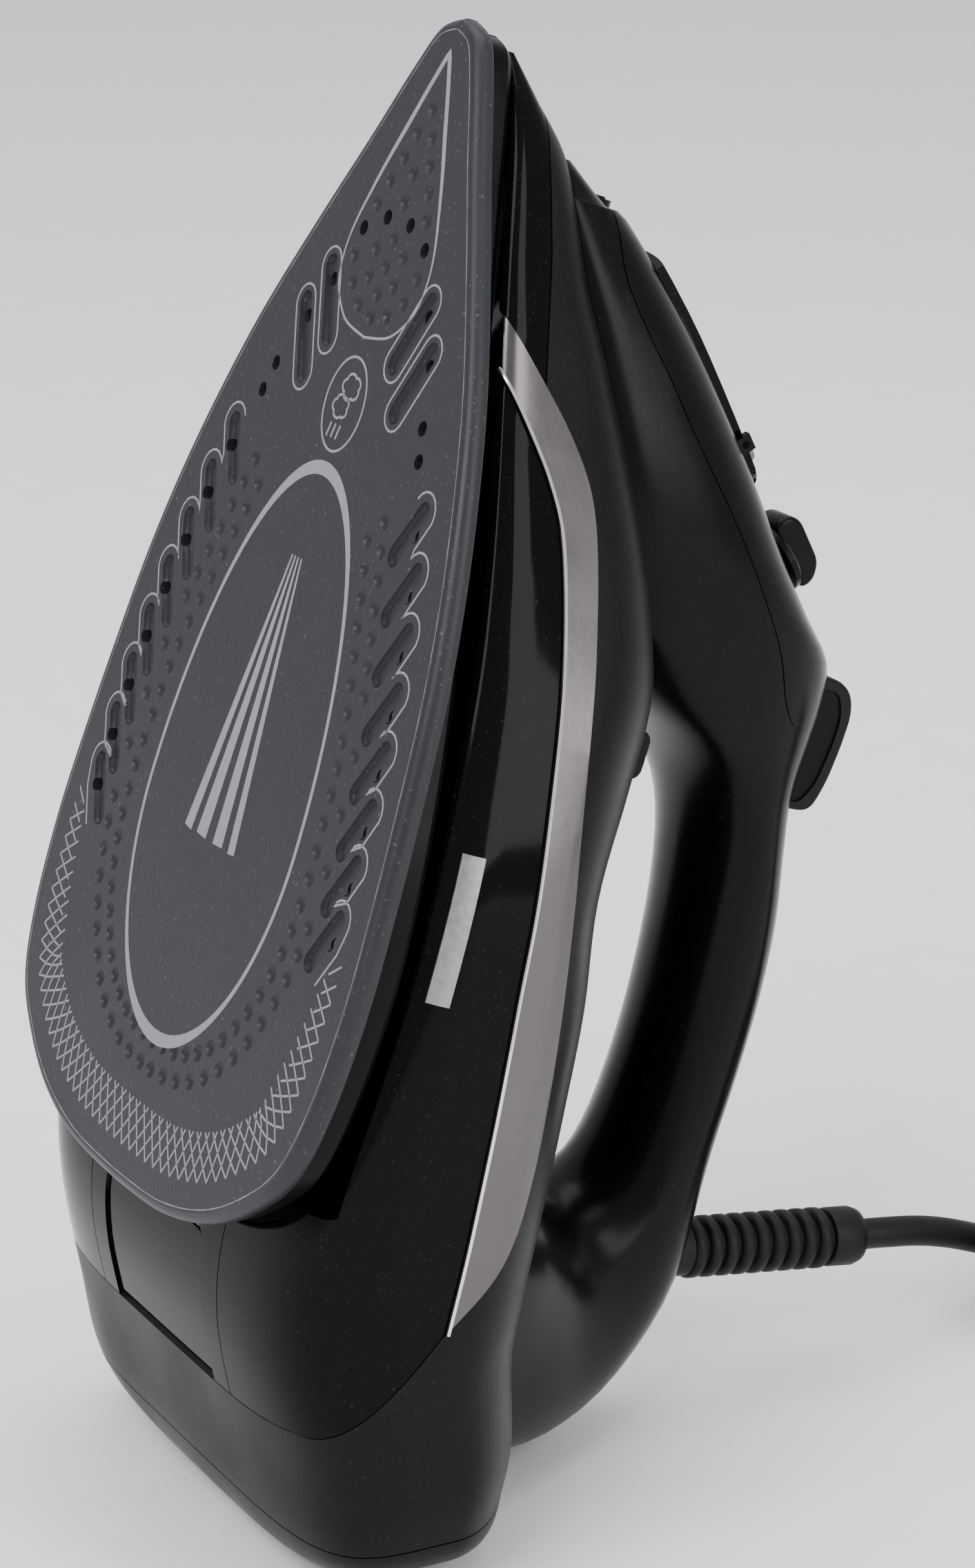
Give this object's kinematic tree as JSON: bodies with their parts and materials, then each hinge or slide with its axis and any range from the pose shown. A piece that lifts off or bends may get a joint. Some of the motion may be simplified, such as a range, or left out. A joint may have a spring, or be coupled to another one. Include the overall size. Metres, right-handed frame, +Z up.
{
  "type": "steam iron",
  "caption": "Steam iron standing on its heel: coated perforated soleplate, black shells, arched handle with moving controls, swivelling cord guard and mains lead.",
  "frame": {"origin": "middle of the heel foot, on the surface the iron stands on", "axes": "+Z up towards the nose; the soleplate faces -Y; the cord leaves towards +Y; X across the iron"},
  "size_m": [0.1335, 0.3192, 0.2842],
  "materials": {
    "sole_coating": "satin ceramic-style coating with light grey print",
    "cast_block": "as cast",
    "element_sheath": "heat-tinted",
    "seal": "matte silicone",
    "steel_plate": "plain",
    "skirt_black": "semi-matte",
    "gloss_black": "high gloss",
    "charcoal": "matte charcoal",
    "tank_smoke": "smoked translucent look",
    "satin_strip": "satin steel-coloured",
    "foot_grey": "matte grey",
    "handle_black": "satin to gloss black",
    "clear_plate": "clear glossy plate",
    "button_grey": "satin grey",
    "spring_steel": "bright",
    "valve_white": "natural nylon",
    "ceramic": "glazed ceramic",
    "wire": "insulation",
    "cord_black": "matte flexible",
    "pin_brass": "plated"
  },
  "bodies": {
    "body": {"soleplate": "sole_coating", "heater_block": "cast_block", "heating_element": "element_sheath", "chamber_seal": "seal", "chamber_cover": "steel_plate", "skirt": "skirt_black", "tank_shell": "gloss_black", "tank_floor": "tank_smoke", "tank_window": "tank_smoke", "trim_left": "satin_strip", "trim_right": "satin_strip", "mid_shell": "charcoal", "rear_cover": "gloss_black", "label_panel": "gloss_black", "rear_base": "charcoal", "heel_foot": "foot_grey", "handle_body": "handle_black", "top_cover": "handle_black", "spray_nozzle": "handle_black", "lid_pin": "spring_steel", "lever_plate": "clear_plate", "drip_valve": "valve_white", "spray_spring": "spring_steel", "steam_spring": "spring_steel", "spray_pump": "valve_white", "steam_pump": "valve_white", "spray_hose": "valve_white", "steam_hose": "valve_white", "thermostat": "ceramic", "thermal_fuse": "ceramic", "self_clean_spring": "spring_steel", "self_clean_valve": "valve_white", "swivel_socket": "cord_black", "cord_clamp": "valve_white", "terminal_block": "valve_white", "supply_wires": "wire", "screws": "spring_steel"},
    "filler_lid": {"filler_lid": "handle_black", "lid_barrel": "handle_black"},
    "steam_selector": {"steam_lever": "handle_black", "steam_rod": "spring_steel"},
    "spray_button": {"spray_button": "button_grey"},
    "steam_button": {"steam_button": "button_grey"},
    "temperature_control": {"temperature_dial": "charcoal", "dial_shaft": "spring_steel"},
    "self_clean_button": {"self_clean_button": "charcoal"},
    "cord_swivel": {"swivel_ball": "cord_black", "cord_guard": "cord_black", "cord_run": "cord_black", "cord_coil": "cord_black", "cord_tail": "cord_black", "coil_tie": "cord_black", "plug_body": "cord_black", "plug_pins": "pin_brass"}
  },
  "joints": [
    {"name": "filler_lid_hinge", "type": "hinge", "parent": "body", "child": "filler_lid", "pos_m": [0, 0.07569, 0.20177], "axis": [-1, 0, 0], "range_deg": [0, 95]},
    {"name": "steam_selector_turn", "type": "hinge", "parent": "body", "child": "steam_selector", "pos_m": [0, 0.08908, 0.17353], "axis": [0, 0.898, 0.4399], "range_deg": [-40, 40]},
    {"name": "spray_button_press", "type": "slide", "parent": "body", "child": "spray_button", "axis": [0, -0.9432, 0.3322], "range_m": [0, 0.003], "stiffness_N_per_m": 700, "deforming": ["spray_spring"]},
    {"name": "steam_button_press", "type": "slide", "parent": "body", "child": "steam_button", "axis": [0, -0.9432, 0.3322], "range_m": [0, 0.003], "stiffness_N_per_m": 700, "deforming": ["steam_spring"]},
    {"name": "temperature_dial_turn", "type": "hinge", "parent": "body", "child": "temperature_control", "pos_m": [0, 0.03689, 0.11067], "axis": [0, 0.9432, -0.3322], "range_deg": [0, 270]},
    {"name": "self_clean_press", "type": "slide", "parent": "body", "child": "self_clean_button", "axis": [0, -0.9432, 0.3322], "range_m": [0, 0.002], "stiffness_N_per_m": 500, "deforming": ["self_clean_spring"]},
    {"name": "cord_swivel_turn", "type": "hinge", "parent": "body", "child": "cord_swivel", "pos_m": [0, 0.062, 0.0335], "axis": [0, 0, 1], "range_deg": [-30, 30]}
  ]
}
